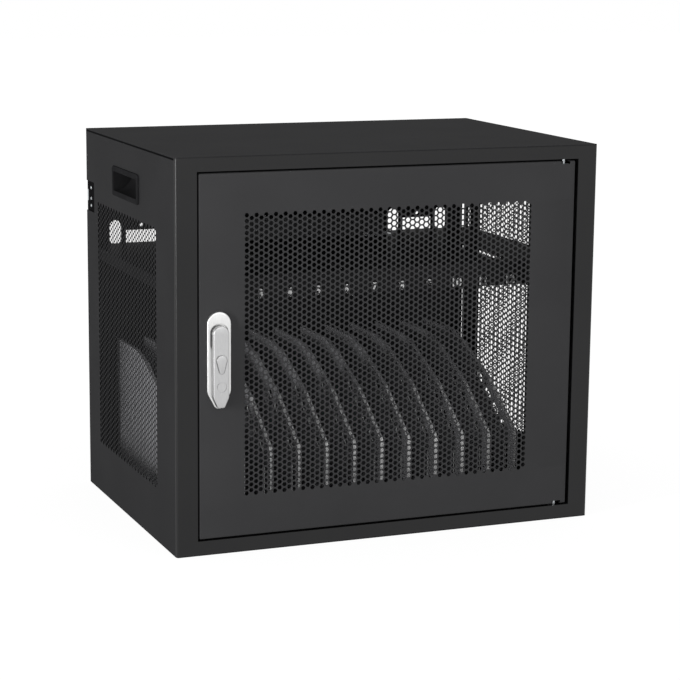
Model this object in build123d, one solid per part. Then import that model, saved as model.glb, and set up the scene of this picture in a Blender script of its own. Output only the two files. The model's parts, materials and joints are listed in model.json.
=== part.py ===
"""A steel charging station for tablets and laptops: a lockable cabinet with a pierced front door,
pierced sides, a row of upright dividers, a shelf for the chargers above them and a rear access door.

Millimetres. The origin is the middle of the base on the surface it stands on, +Z is up, and the
front door faces -Y. Each piece is a solid of its own, written to parts/NODE.step.
"""

import os
from math import atan2, cos, degrees, pi, radians, sin, sqrt

from build123d import *

# Cabinet
width = 590.0
depth = 410.0
height = 512.0
sheet = 1.5  # steel sheet of the cabinet and its doors
corner_radius = 4.0  # bend of the front face into the sides
side_border = 28.5  # front face beside the door
top_border = 18.5
bottom_border = 19.0
return_depth = 22.0  # how deep the door opening's edge is folded in
stop_width = 14.0  # flange that the door closes against

# Pierced fields: the solids have fewer and larger holes than the real sheet, with as much open area
mesh_pitch = 24.0
mesh_flats = 17.0

# Front door
door_gap = 2.5  # round the lock side, the top and the bottom
door_hinge_gap = 4.5
door_depth = 18.0
pivot_inset = 14.0  # pivot axis from the door's hinge edge
pivot_setback = 8.0  # pivot axis behind the front face
pivot_radius = 2.5
pivot_clearance = 0.06
pivot_reach = 5.0  # pin beyond the opening's edge
notch_width = 13.0
notch_depth = 4.0
window_left = 91.0  # pierced field of the door, from the cabinet's left side
window_right = 96.0  # from the cabinet's right side
window_bottom = 73.0
window_top = height - 71.0
stiffener_width = 16.0
stiffener_depth = 12.0
stiffener_sheet = 1.2
stiffener_gap = 3.0  # between a stiffener and the pierced field

# Swing-handle lock on the front door
lock_inset = 56.0  # from the cabinet's left side
lock_bottom = 192.0
lock_top = 317.0
lock_width = 32.0
lock_thickness = 5.0
lock_tip_radius = 8.0
lock_taper = 9.0
lock_boss_radius = 10.0
lock_boss_length = 14.0
lock_nut_flats = 27.0
lock_nut_thickness = 5.0
spindle_z = 222.0
spindle_radius = 6.0
lever_gap = 0.6  # between the lever and the lock plate
lever_thickness = 8.0
lever_width = 24.0
lever_top = 300.0
lever_tip_radius = 6.0
lever_end = 4.0  # radius of the lever's lower end round its tilt pin
tilt_pin_radius = 1.25
carrier_radius = 8.0
carrier_clearance = 0.5
carrier_depth = 5.6  # carrier let into the back of the lever
carrier_running_gap = 0.3  # between the carrier and the lock plate
lever_web = 1.5  # metal of the lever in front of the carrier
tilt_eye_radius = 2.3
key_z = 256.0
key_radius = 6.0
cover_pivot_z = 242.5
cover_thickness = 1.2
cover_pin_radius = 1.5
cam_thickness = 3.0
cam_width = 18.0
cam_reach = 24.0
cam_gap = 1.0  # between the cam and the flange that it locks behind
moving_clearance = 0.1

# Side panels
side_field_front = 80.0  # pierced field of a side, from the front face
side_field_back = 355.0
side_field_bottom = 71.0
side_field_top = height - 97.0
security_slot_from_front = 391.0
security_slot_z = 364.0
security_slot_size = (7.0, 28.0)

# Carry handles let into the sides
handle_length = 120.0
handle_height = 40.0
handle_from_front = 215.0
handle_z = height - 58.0
handle_rim = 5.0
handle_proud = 2.0
handle_depth = 28.0
handle_wall = 2.0
handle_fit = 0.3

# Shelf for the chargers
shelf_top = 350.0
shelf_front = 60.0
shelf_back_gap = 22.0
shelf_lip = 32.0
shelf_side_lip = 16.0
cable_slot_count = 6
cable_slot_pitch = 79.7
cable_slot_size = (14.0, 150.0)
cable_slot_from_front = 90.0

# Rack of dividers
slot_count = 12
slot_pitch = 39.9
rack_inset = 35.6  # first divider from the cabinet's left side
rack_front = 70.0
rack_back = 390.0
rack_height = 13.5
rack_end = 12.0  # floor beyond the first and the last divider
divider_sheet = 1.2
divider_front = 78.0
divider_back = 384.0
divider_nose_z = 110.0
divider_middle = (160.0, 167.0)  # (from the front face, height)
divider_shoulder = (250.0, 205.0)
divider_top_z = 214.0
divider_bend = 16.0
divider_flange = 5.0
divider_foot = 5.0
divider_slot_from_front = 96.0  # upright slot behind the divider's front edge
divider_slot_size = (9.0, 44.0)
divider_slot_bottom = 42.0
edge_slot_count = 4  # slots that follow the sloping edge
edge_slot_size = (9.0, 20.0)
edge_slot_pitch = 31.0
edge_slot_depth = 17.0  # their middles below the sloping edge
edge_slot_start = 26.0  # first of them, along the slope from the bend of the nose
back_rail_height = 60.0
back_rail_gap = 0.3

# Outlet strips
strip_length = 266.0
strip_depth = 42.0
strip_height = 34.0
strip_wall = 2.0
strip_from_back = 24.0
outlet_count = 5
outlet_pitch = 42.0
outlet_radius = 15.0
outlet_recess = 2.0
outlet_shift = 19.0  # the outlets stand to one side of the middle, clear of the switch
switch_size = (12.0, 19.0)
switch_inset = 17.0
switch_proud = 2.4
switch_tilt = 9.0
switch_clearance = 0.4
inlet_size = (24.0, 17.0)
inlet_depth = 14.0
bracket_sheet = 1.5
bracket_length = 16.0
screw_radius = 2.0
screw_head_radius = 3.8
screw_head_height = 2.0

# Rear panels
rear_split = 336.0
rear_lip = 14.0
rear_door_gap = 2.0
rear_door_left = 10.0
rear_door_right = 8.0
rear_door_top = 4.0
rear_door_lip = 10.0
port_centre = 79.5  # cable ports, from each side of the cabinet
port_oval = (17.0, 35.0)
port_oval_offset = 38.7
port_oval_z = 362.5
port_box = (46.0, 18.0)
port_box_z = 356.0
port_hole_radius = 2.5
port_hole_z = 372.0

# Rear hinge
hinge_z = height - 94.0
hinge_height = 48.0
hinge_leaf = 38.0
hinge_sheet = 2.0
hinge_radius = 4.0
hinge_pin_radius = 2.0
hinge_pin_clearance = 0.06
knuckle_gap = 0.4
hinge_window = 3.0  # how far the fixed leaf runs past its cut-out in the side

# Rear lock
rear_lock_inset = 32.0
rear_lock_z = hinge_z
rear_lock_radius = 9.5
rear_lock_length = 18.0
rear_plug_radius = 6.5
rear_cam_thickness = 2.0
rear_cam_width = 16.0
rear_cam_reach = 22.0
strike_width = 15.0
strike_height = 30.0
strike_gap = 1.0

# Places worked out from the sizes above
left = -width / 2
right = width / 2
front = -depth / 2
back = depth / 2
opening_left = left + side_border
opening_right = right - side_border
opening_bottom = bottom_border
opening_top = height - top_border
door_left = opening_left + door_gap
door_right = opening_right - door_hinge_gap
door_bottom = opening_bottom + door_gap
door_top = opening_top - door_gap
stiffener_inset = stiffener_gap + stiffener_width / 2
pivot_x = door_right - pivot_inset
pivot_y = front + pivot_setback
lock_x = left + lock_inset
plate_y = front - lock_thickness
lever_back = plate_y - lever_gap
lever_front = lever_back - lever_thickness
tilt_y = lever_back - lever_end
tilt_z = lock_bottom + lever_end + 0.6
stop_y = front + return_depth
cam_y = stop_y + cam_gap
rear_door_bottom = rear_split + rear_door_gap
rear_door_height = height - rear_door_top
hinge_x = left + sheet + hinge_radius
hinge_y = back + 0.5
rear_lock_x = right - rear_lock_inset
rear_cam_y = back - rear_lock_length
shelf_back = back - shelf_back_gap
divider_floor = rack_height
first_divider = left + rack_inset
last_divider = first_divider + slot_count * slot_pitch
rack_x = (first_divider - rack_end, last_divider + rack_end)


def block(x, y, z):
    """A box between three (low, high) pairs."""
    middle = Pos((x[0] + x[1]) / 2, (y[0] + y[1]) / 2, (z[0] + z[1]) / 2)
    return middle * Box(x[1] - x[0], y[1] - y[0], z[1] - z[0])


def rod_x(x, y, z, radius):
    """A cylinder along X between the two ends in x."""
    return Pos((x[0] + x[1]) / 2, y, z) * Rot(0, 90, 0) * Cylinder(radius, x[1] - x[0])


def rod_y(x, y, z, radius):
    """A cylinder along Y between the two ends in y."""
    return Pos(x, (y[0] + y[1]) / 2, z) * Rot(90, 0, 0) * Cylinder(radius, y[1] - y[0])


def rod_z(x, y, z, radius):
    """A cylinder along Z between the two ends in z."""
    return Pos(x, y, (z[0] + z[1]) / 2) * Cylinder(radius, z[1] - z[0])


def upright(sketch, y):
    """A sketch drawn in (x, z) made solid between the two ends in y."""
    return Pos(0, y[1], 0) * (Plane.XZ * extrude(sketch, y[1] - y[0], dir=(0, 0, 1)))


def hexagon_centres(u, v):
    """Centres of a staggered field of hexagons that fills the rectangle u by v, evenly margined."""
    corner = mesh_flats / sqrt(3)
    step = mesh_pitch * sqrt(3) / 2
    columns = int((u[1] - u[0] - 2 * corner) / step) + 1
    rows = int((v[1] - v[0] - mesh_flats) / mesh_pitch) + 1
    u_start = (u[0] + u[1] - (columns - 1) * step) / 2
    v_start = (v[0] + v[1] - (rows - 1) * mesh_pitch) / 2
    centres = []
    for column in range(columns):
        shifted = column % 2
        for row in range(rows - shifted):
            centres.append((u_start + column * step, v_start + (row + shifted / 2) * mesh_pitch))
    return centres


def hexagon_wire(centre):
    """A hexagon with flats above and below, as a wire."""
    corner = mesh_flats / sqrt(3)
    turns = [k * pi / 3 for k in range(6)]
    points = [(centre[0] + corner * cos(a), centre[1] + corner * sin(a)) for a in turns]
    return Wire.make_polygon([Vector(u, v) for u, v in points])


def pierced_sheet(u, v, field_u, field_v):
    """A sheet u by v, drawn in its own plane, with a field of hexagonal holes."""
    corners = [(u[0], v[0]), (u[1], v[0]), (u[1], v[1]), (u[0], v[1])]
    outline = Wire.make_polygon([Vector(a, b) for a, b in corners])
    holes = [hexagon_wire(c) for c in hexagon_centres(field_u, field_v)]
    return extrude(Face(outline, holes), sheet)


def ring(x, z, y, wall):
    """A rectangular tube along Y: the outside is x by z, and the wall is turned inwards."""
    inside = block((x[0] + wall, x[1] - wall), (y[0] - 1, y[1] + 1), (z[0] + wall, z[1] - wall))
    return block(x, y, z) - inside


def front_frame():
    """The front face with its bends into the sides, and the folded edge of the door opening."""
    z = (sheet, height - sheet)
    outer = block((left, right), (front, front + 2 * corner_radius), z)
    outer = fillet(outer.edges().filter_by(Axis.Z).group_by(Axis.Y)[0], corner_radius)
    core = block((left + sheet, right - sheet), (front + sheet, front + 3 * corner_radius), z)
    core = fillet(core.edges().filter_by(Axis.Z).group_by(Axis.Y)[0], corner_radius - sheet)
    outer -= core
    outer -= block((left - 1, right + 1), (front + corner_radius, 0), (0, height))
    outer -= block((opening_left, opening_right), (front - 1, stop_y), (opening_bottom, opening_top))
    fold = ring(
        (opening_left - sheet, opening_right + sheet),
        (opening_bottom - sheet, opening_top + sheet),
        (front + sheet, stop_y),
        sheet,
    )
    stop_end = pivot_x - 1.5 * pivot_inset
    stop = block((opening_left, stop_end), (stop_y - sheet, stop_y), (opening_bottom, opening_top))
    stop -= block(
        (opening_left + stop_width, stop_end + 1),
        (stop_y - sheet - 1, stop_y + 1),
        (opening_bottom + stop_width, opening_top - stop_width),
    )
    frame = outer + fold + stop
    return frame - rod_z(pivot_x, pivot_y, (0, height), pivot_radius + pivot_clearance)


def flat_panel(z):
    """The top or the base: a sheet with its two front corners rounded like the front face."""
    panel = block((left, right), (front, back), z)
    return fillet(panel.edges().filter_by(Axis.Z).group_by(Axis.Y)[0], corner_radius)


def side_panel(side):
    """A side sheet: side is -1 for the left and 1 for the right."""
    panel = pierced_sheet(
        (front + corner_radius, back),
        (sheet, height - sheet),
        (front + side_field_front, front + side_field_back),
        (side_field_bottom, side_field_top),
    )
    panel = Pos(left if side < 0 else right - sheet, 0, 0) * (Plane.YZ * panel)
    across = (left - 1, left + sheet + 1) if side < 0 else (right - sheet - 1, right + 1)
    half_length = handle_length / 2 - handle_rim + handle_fit
    half_height = handle_height / 2 - handle_rim + handle_fit
    handle_y = front + handle_from_front
    panel -= block(
        across,
        (handle_y - half_length, handle_y + half_length),
        (handle_z - half_height, handle_z + half_height),
    )
    if side < 0:
        leaf_front = hinge_y - hinge_leaf - hinge_radius
        return panel - block(
            across,
            (leaf_front + hinge_window, back + 1),
            (hinge_z - hinge_height / 2 + hinge_window, hinge_z + hinge_height / 2 - hinge_window),
        )
    slot_y = front + security_slot_from_front
    return panel - block(
        across,
        (slot_y - security_slot_size[0] / 2, slot_y + security_slot_size[0] / 2),
        (security_slot_z - security_slot_size[1] / 2, security_slot_z + security_slot_size[1] / 2),
    )


def scoop_profile(reach, drop):
    """A quarter ellipse in (x, z): it runs in from the side and curves down to the sheet."""
    whole = Ellipse(reach, drop)
    return whole & Pos(reach, -drop) * Rectangle(2 * reach, 2 * drop)


def carry_handle(side):
    """A moulded finger scoop with a rim that lies on the side sheet."""
    half_length = handle_length / 2 - handle_rim
    half_height = handle_height / 2 - handle_rim
    inner_length = half_length - handle_wall
    inner_height = half_height - handle_wall
    shell = extrude(scoop_profile(handle_depth, 2 * half_height), half_length, both=True)
    hollow = extrude(
        scoop_profile(handle_depth - handle_wall, 2 * inner_height), inner_length, both=True
    )
    rim = Pos(-handle_proud / 2, -half_height, 0) * Box(
        handle_proud, handle_height, handle_length
    )
    rim = fillet(rim.edges().filter_by(Axis.X), handle_rim)
    rim = fillet(rim.faces().sort_by(Axis.X)[0].edges(), handle_proud / 2)
    mouth = Pos(-handle_proud / 2, -half_height, 0) * Box(
        handle_proud + 1, 2 * inner_height, 2 * inner_length
    )
    scoop = shell + rim - Pos(0, -handle_wall, 0) * hollow - mouth
    upright_scoop = Rot(90, 0, 0) * scoop
    if side > 0:
        upright_scoop = mirror(upright_scoop, Plane.YZ)
    x = left if side < 0 else right
    return Pos(x, front + handle_from_front, handle_z + half_height) * upright_scoop


def rear_lower_panel():
    """The fixed lower part of the back, with a lip turned in under the access door."""
    x = (left + sheet, right - sheet)
    panel = block(x, (back - sheet, back), (sheet, rear_split))
    return panel + block(x, (back - rear_lip, back - sheet), (rear_split - sheet, rear_split))


def shelf():
    """The charger shelf: slots for cables, a numbered lip at the front and lips at both ends."""
    x = (left + sheet, right - sheet)
    y = (front + shelf_front, shelf_back)
    tray = block(x, y, (shelf_top - sheet, shelf_top))
    tray += block(x, (y[0], y[0] + sheet), (shelf_top - shelf_lip, shelf_top))
    for end in ((x[0], x[0] + sheet), (x[1] - sheet, x[1])):
        tray += block(end, y, (shelf_top - shelf_side_lip, shelf_top))
    slot_y = front + cable_slot_from_front + cable_slot_size[1] / 2
    for k in range(cable_slot_count):
        slot_x = (k - (cable_slot_count - 1) / 2) * cable_slot_pitch
        tray -= block(
            (slot_x - cable_slot_size[0] / 2, slot_x + cable_slot_size[0] / 2),
            (slot_y - cable_slot_size[1] / 2, slot_y + cable_slot_size[1] / 2),
            (shelf_top - sheet - 1, shelf_top + 1),
        )
    return tray


def rack_base():
    """The raised floor that the dividers stand on, with a lip down at the front and the back."""
    y = (front + rack_front, front + rack_back)
    floor = block(rack_x, y, (rack_height - sheet, rack_height))
    for edge in ((y[0], y[0] + sheet), (y[1] - sheet, y[1])):
        floor += block(rack_x, edge, (sheet, rack_height))
    return floor


def rack_back_rail():
    """The upright stop behind the dividers."""
    y = front + divider_back + back_rail_gap
    return block(rack_x, (y, y + sheet), (rack_height, rack_height + back_rail_height))


def divider_outline():
    """The divider's edge in (y, z) from the foot of its nose to its top corner at the back."""
    points = [
        (front + divider_front, divider_floor),
        (front + divider_front, divider_nose_z),
        (front + divider_middle[0], divider_middle[1]),
        (front + divider_shoulder[0], divider_shoulder[1]),
        (front + divider_shoulder[0] + 40, divider_top_z),
        (front + divider_back, divider_top_z),
    ]
    return points


def divider(x):
    """One divider: a sheet with a foot, two slots, and a flange along its sloping front edge."""
    points = divider_outline()
    edge = FilletPolyline(*points, radius=divider_bend)
    closing = Polyline(points[-1], (points[-1][0], divider_floor), points[0])
    plate = extrude(make_face(edge.edges() + closing.edges()), divider_sheet)
    inner = [(p[0] + divider_sheet, p[1] - divider_sheet) for p in points]
    inner[0] = (inner[0][0], divider_floor)
    inner[-1] = (points[-1][0], inner[-1][1])
    inner_edge = FilletPolyline(*inner, radius=divider_bend)
    ends = Line(points[0], inner[0]).edges() + Line(points[-1], inner[-1]).edges()
    band = extrude(make_face(edge.edges() + inner_edge.edges() + ends), divider_flange)
    foot = Pos(points[0][0], divider_floor, 0) * Box(
        divider_back - divider_front,
        divider_sheet,
        divider_foot,
        align=(Align.MIN, Align.MIN, Align.MIN),
    )
    body = plate + band + foot
    upright_slot = SlotOverall(divider_slot_size[1], divider_slot_size[0], rotation=90)
    body -= Pos(front + divider_slot_from_front, divider_slot_bottom + divider_slot_size[1] / 2, 0) * (
        extrude(upright_slot, divider_sheet)
    )
    rise = divider_middle[1] - divider_nose_z
    run = divider_middle[0] - divider_front
    slope = atan2(rise, run)
    edge_slot = SlotOverall(edge_slot_size[1], edge_slot_size[0], rotation=degrees(slope))
    for k in range(edge_slot_count):
        along = edge_slot_start + k * edge_slot_pitch
        y = front + divider_front + along * cos(slope) + edge_slot_depth * sin(slope)
        z = divider_nose_z + along * sin(slope) - edge_slot_depth * cos(slope)
        body -= Pos(y, z, 0) * extrude(edge_slot, divider_sheet)
    return Pos(x - divider_sheet / 2, 0, 0) * (Plane.YZ * body)


def strip_lift(upper):
    """Where an outlet strip lies: on the shelf, or turned over under the top panel."""
    y = back - strip_from_back - strip_depth / 2
    if upper:
        return Pos(0, y, height - sheet) * Rot(0, 180, 0)
    return Pos(0, y, shelf_top)


def strip_body():
    """A strip's housing on its base plane, with sockets, a switch well and an inlet well."""
    x = (-strip_length / 2, strip_length / 2)
    y = (-strip_depth / 2, strip_depth / 2)
    housing = block(x, y, (bracket_sheet, strip_height))
    housing = fillet(housing.edges().filter_by(Axis.X).group_by(Axis.Z)[-1], 3)
    housing -= block(
        (x[0] + strip_wall, x[1] - strip_wall),
        (y[0] + strip_wall, y[1] - strip_wall),
        (bracket_sheet - 1, strip_height - strip_wall - outlet_recess - 1),
    )
    for k in range(outlet_count):
        socket_x = outlet_shift + (k - (outlet_count - 1) / 2) * outlet_pitch
        housing -= rod_z(
            socket_x, 0, (strip_height - outlet_recess, strip_height + 1), outlet_radius
        )
    switch_x = x[0] + switch_inset
    gap = switch_clearance
    housing -= block(
        (switch_x - switch_size[0] / 2 - gap, switch_x + switch_size[0] / 2 + gap),
        (-switch_size[1] / 2 - gap, switch_size[1] / 2 + gap),
        (strip_height - 8, strip_height + 1),
    )
    housing -= block(
        (x[1] - strip_wall - 1, x[1] + 1),
        (-inlet_size[0] / 2, inlet_size[0] / 2),
        (strip_height / 2 - inlet_size[1] / 2, strip_height / 2 + inlet_size[1] / 2),
    )
    return housing


def strip_sockets():
    """The socket faces of a strip, each with a blade pair and an earth hole."""
    floor = strip_height - outlet_recess
    sockets = []
    for k in range(outlet_count):
        x = outlet_shift + (k - (outlet_count - 1) / 2) * outlet_pitch
        face = rod_z(x, 0, (floor, floor + 1.6), outlet_radius - 0.2)
        for side in (-1, 1):
            face -= block(
                (x + side * 6.35 - 1, x + side * 6.35 + 1), (-3.5, 4.5), (floor - 1, floor + 3)
            )
        face -= rod_z(x, -9, (floor - 1, floor + 3), 2.4)
        sockets.append(face)
    return sockets


def strip_switch():
    """The rocker of a strip: it tips about an axis along Y through the middle of its well."""
    x = -strip_length / 2 + switch_inset
    half = switch_size[0] / 2
    rise = half * sin(radians(switch_tilt))
    profile = Polygon(
        (x - half, strip_height - 3),
        (x + half, strip_height - 3),
        (x + half, strip_height + switch_proud - rise),
        (x, strip_height + 0.8),
        (x - half, strip_height + switch_proud),
        align=None,
    )
    return extrude(Plane.XZ * profile, switch_size[1] / 2, both=True)


def strip_inlet():
    """The appliance inlet at a strip's end: a cup with three pins."""
    x = strip_length / 2
    z = strip_height / 2
    fit = 0.3
    half = (inlet_size[0] / 2 - fit, inlet_size[1] / 2 - fit)
    cup = block((x - inlet_depth, x), (-half[0], half[0]), (z - half[1], z + half[1]))
    cup -= block(
        (x - inlet_depth + 2, x + 1), (-half[0] + 2, half[0] - 2), (z - half[1] + 2, z + half[1] - 2)
    )
    pins = [(-7, -1), (0, 2.5), (7, -1)]
    for pin_y, pin_z in pins:
        cup += block(
            (x - inlet_depth + 1, x - 3), (pin_y - 1, pin_y + 1), (z + pin_z - 2, z + pin_z + 2)
        )
    return cup


def strip_brackets():
    """Two feet that hold a strip: each is a plate under the housing with an ear at its end."""
    feet = []
    for side in (-1, 1):
        inner = side * (strip_length / 2 - 30)
        outer = side * (strip_length / 2 + bracket_length)
        x = (min(inner, outer), max(inner, outer))
        foot = block(x, (-strip_depth / 2, strip_depth / 2), (0, bracket_sheet))
        hole_x = side * (strip_length / 2 + bracket_length / 2)
        feet.append(foot - rod_z(hole_x, 0, (-1, bracket_sheet + 1), screw_radius + 0.2))
    return feet


def pan_head(x, y, z):
    """A small screw head that stands on z, pointing up."""
    head = Cylinder(screw_head_radius, screw_head_height, align=(Align.CENTER, Align.CENTER, Align.MIN))
    head = fillet(head.edges().sort_by(Axis.Z)[-1], 0.9)
    drive = Box(1, 2 * screw_head_radius - 3, 1.4) + Box(2 * screw_head_radius - 3, 1, 1.4)
    return Pos(x, y, z) * (head - Pos(0, 0, screw_head_height) * drive)


def strip_screws():
    """The two screws of a strip's feet."""
    at = strip_length / 2 + bracket_length / 2
    return [pan_head(side * at, 0, bracket_sheet) for side in (-1, 1)]


def rear_door_panel():
    """The access door of the charger bay, with its edges turned in and its cable ports."""
    x = (left + rear_door_left, right - rear_door_right)
    z = (rear_door_bottom, rear_door_height)
    panel = block(x, (back - sheet, back), z)
    panel += ring(x, z, (back - rear_door_lip, back - sheet), sheet)
    across = (back - sheet - 1, back + 1)
    for side in (-1, 1):
        centre = side * (width / 2 - port_centre)
        for offset in (-port_oval_offset, port_oval_offset):
            oval = Pos(centre + offset, port_oval_z) * SlotOverall(port_oval[1], port_oval[0], rotation=90)
            panel -= upright(oval, across)
        panel -= block(
            (centre - port_box[0] / 2, centre + port_box[0] / 2),
            across,
            (port_box_z - port_box[1] / 2, port_box_z + port_box[1] / 2),
        )
        panel -= rod_y(centre, across, port_hole_z, port_hole_radius)
    return panel - rod_y(rear_lock_x, across, rear_lock_z, rear_lock_radius + moving_clearance)


def knuckles(which):
    """Barrel pieces of the rear hinge: the two outer ones, or the one between them."""
    step = hinge_height / 3
    low = hinge_z - hinge_height / 2
    pieces = []
    for k in range(3):
        if (k == 1) != (which == "moving"):
            continue
        z = (low + k * step + knuckle_gap / 2, low + (k + 1) * step - knuckle_gap / 2)
        pieces.append((rod_z(hinge_x, hinge_y, z, hinge_radius), z))
    return pieces


def rear_hinge_fixed():
    """The hinge leaf on the inside of the left side, seen through the cut-out there."""
    x = (left + sheet, left + sheet + hinge_sheet)
    y = (hinge_y - hinge_leaf - hinge_radius, hinge_y - hinge_radius - knuckle_gap)
    half = hinge_height / 2
    leaf = block(x, y, (hinge_z - half, hinge_z + half))
    for barrel, z in knuckles("fixed"):
        leaf += barrel + block(x, (y[1] - 1, hinge_y), z)
    return leaf - rod_z(hinge_x, hinge_y, (0, height), hinge_pin_radius + hinge_pin_clearance)


def rear_hinge_moving():
    """The hinge leaf on the outside of the access door."""
    y = (back, back + hinge_sheet)
    half = hinge_height / 2
    inner = left + rear_door_left + 1
    leaf = block((inner, inner + hinge_leaf), y, (hinge_z - half, hinge_z + half))
    for barrel, z in knuckles("moving"):
        leaf += barrel + block((hinge_x, inner + 1), y, z)
    return leaf - rod_z(hinge_x, hinge_y, (0, height), hinge_pin_radius + hinge_pin_clearance)


def rear_hinge_pin():
    """The pin of the rear hinge, with a head on top."""
    low = hinge_z - hinge_height / 2
    pin = rod_z(hinge_x, hinge_y, (low, low + hinge_height + 0.3), hinge_pin_radius)
    top = low + hinge_height + 0.3
    return pin + rod_z(hinge_x, hinge_y, (top, top + 1.5), hinge_radius - 0.6)


def rear_hinge_screws():
    """Three screws of the moving leaf."""
    x = left + rear_door_left + 1 + hinge_leaf - 12
    heads = []
    for k in (-1, 0, 1):
        z = hinge_z + k * hinge_height / 3
        heads.append(Pos(x, back + hinge_sheet, z) * Rot(-90, 0, 0) * pan_head(0, 0, 0))
    return heads


def rear_panel_screws():
    """Screws round the fixed lower back."""
    heads = []
    for x in (left + 14, 0, right - 14):
        for z in (14, rear_split - 40):
            heads.append(Pos(x, back, z) * Rot(-90, 0, 0) * pan_head(0, 0, 0))
    return heads


def rear_lock_barrel():
    """The rear lock's fixed barrel, with a collar outside the access door."""
    barrel = rod_y(rear_lock_x, (rear_cam_y + 0.3, back), rear_lock_z, rear_lock_radius)
    collar = rod_y(rear_lock_x, (back, back + 2), rear_lock_z, rear_lock_radius + 2)
    bore = rod_y(
        rear_lock_x, (rear_cam_y - 1, back + 3), rear_lock_z, rear_plug_radius + moving_clearance
    )
    return barrel + collar - bore


def rear_lock_nut():
    """The ring nut that clamps the barrel to the access door."""
    hexagon = RegularPolygon(rear_lock_radius + 5, 6)
    hexagon = Pos(rear_lock_x, rear_lock_z) * (hexagon - Circle(rear_lock_radius + moving_clearance))
    return upright(hexagon, (back - sheet - 4, back - sheet))


def rear_lock_plug():
    """The turning plug of the rear lock, with its keyway."""
    plug = rod_y(rear_lock_x, (rear_cam_y, back + 2.2), rear_lock_z, rear_plug_radius)
    keyway = (-rear_plug_radius + 3, rear_plug_radius - 3)
    return plug - block(
        (rear_lock_x - 0.9, rear_lock_x + 0.9),
        (back - 6, back + 3),
        (rear_lock_z + keyway[0], rear_lock_z + keyway[1]),
    )


def cam_plate(x, z, y, reach, plate_width, direction):
    """A cam: a plate with a round end on its axis and a square end at its reach."""
    hub = Circle(plate_width / 2)
    arm = Pos(direction * reach / 2, 0) * Rectangle(reach, plate_width)
    return upright(Pos(x, z) * (hub + arm), y)


def rear_lock_cam():
    """The rear lock's cam, behind the strike when locked."""
    y = (rear_cam_y - rear_cam_thickness, rear_cam_y)
    return cam_plate(rear_lock_x, rear_lock_z, y, rear_cam_reach, rear_cam_width, 1)


def rear_strike():
    """The angle on the right side that the rear cam locks behind."""
    z = (rear_lock_z - strike_height / 2, rear_lock_z + strike_height / 2)
    x = (right - sheet - strike_width, right - sheet)
    y0 = rear_cam_y + strike_gap
    catch = block(x, (y0, y0 + sheet), z)
    return catch + block((x[1] - sheet, x[1]), (y0 - 24, y0), z)


def door_panel():
    """The front door: a pierced sheet with its edges turned back and a notch at each pivot."""
    skin = pierced_sheet(
        (door_left, door_right),
        (door_bottom, door_top),
        (left + window_left, right - window_right),
        (window_bottom, window_top),
    )
    skin = Pos(0, front + sheet, 0) * (Plane.XZ * skin)
    door = skin + ring(
        (door_left, door_right), (door_bottom, door_top), (front + sheet, front + door_depth), sheet
    )
    notch_x = (pivot_x - notch_width / 2, pivot_x + notch_width / 2)
    notch_y = (front - 1, pivot_y + pivot_radius + 1)
    for z in ((door_top - notch_depth, door_top + 1), (door_bottom - 1, door_bottom + notch_depth)):
        door -= block(notch_x, notch_y, z)
    return door - rod_y(lock_x, (front - 1, front + 3), spindle_z, lock_boss_radius + moving_clearance)


def door_stiffener(x):
    """An upright channel behind the door's sheet."""
    half = stiffener_width / 2
    y = (front + sheet, front + sheet + stiffener_depth)
    z = (door_bottom + sheet, door_top - sheet)
    channel = block((x - half, x + half), y, z)
    return channel - block(
        (x - half + stiffener_sheet, x + half - stiffener_sheet),
        (y[0] - 1, y[1] - stiffener_sheet),
        (z[0] - 1, z[1] + 1),
    )


def pivot_bracket(upper):
    """The block inside the door's corner that holds a pivot pin."""
    reach = 11.0
    edge = door_top - notch_depth if upper else door_bottom + notch_depth
    z = (edge - reach, edge) if upper else (edge, edge + reach)
    block_y = (front + sheet, front + door_depth - 1)
    body = block((pivot_x - 9, door_right - sheet), block_y, z)
    return body - rod_z(pivot_x, pivot_y, (0, height), pivot_radius + pivot_clearance)


def pivot_pin(upper):
    """A pivot pin: it runs from its bracket into the frame."""
    if upper:
        z = (door_top - notch_depth - 9, opening_top + pivot_reach)
    else:
        z = (opening_bottom - pivot_reach, door_bottom + notch_depth + 9)
    pin = rod_z(pivot_x, pivot_y, z, pivot_radius)
    return chamfer(pin.edges().filter_by(GeomType.CIRCLE), 0.5)


def door_bumpers():
    """Rubber buttons on the flange that the door closes against."""
    x = opening_left + stop_width / 2
    y = (front + door_depth + 0.3, stop_y - sheet)
    buttons = []
    for z in (opening_bottom + 60, opening_top - 60):
        button = rod_y(x, y, z, 5)
        buttons.append(button)
    return buttons


def capsule(half_width, top, tip_z, tip_radius, taper):
    """A lock outline in (x, z): round at the top, and tapered to a small round tip below."""
    shoulder = tip_z + taper
    body = Pos(0, (shoulder + top - half_width) / 2) * Rectangle(
        2 * half_width, top - half_width - shoulder
    )
    head = Pos(0, top - half_width) * Circle(half_width)
    tip = Pos(0, tip_z) * Circle(tip_radius)
    cheek = Polygon(
        (-tip_radius, tip_z),
        (tip_radius, tip_z),
        (half_width, shoulder),
        (-half_width, shoulder),
        align=None,
    )
    return body + head + tip + cheek


def lock_plate():
    """The lock's fixed plate on the door, with a threaded boss through the sheet."""
    half = lock_width / 2
    outline = capsule(half, lock_top, lock_bottom + lock_tip_radius, lock_tip_radius, lock_taper)
    plate = upright(Pos(lock_x, 0) * outline, (plate_y, front))
    plate = chamfer(plate.faces().sort_by(Axis.Y)[0].edges(), 1.2)
    scoop_z = lever_top - lever_width / 2 + 1.5
    crescent = upright(
        Pos(lock_x, scoop_z) * Circle(lever_width / 2 + 0.8), (plate_y - 1, plate_y + 3)
    )
    plate -= crescent
    plate += rod_y(lock_x, (front, front + lock_boss_length), spindle_z, lock_boss_radius)
    bore = (plate_y - 1, front + lock_boss_length + 1)
    return plate - rod_y(lock_x, bore, spindle_z, spindle_radius + moving_clearance)


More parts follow.
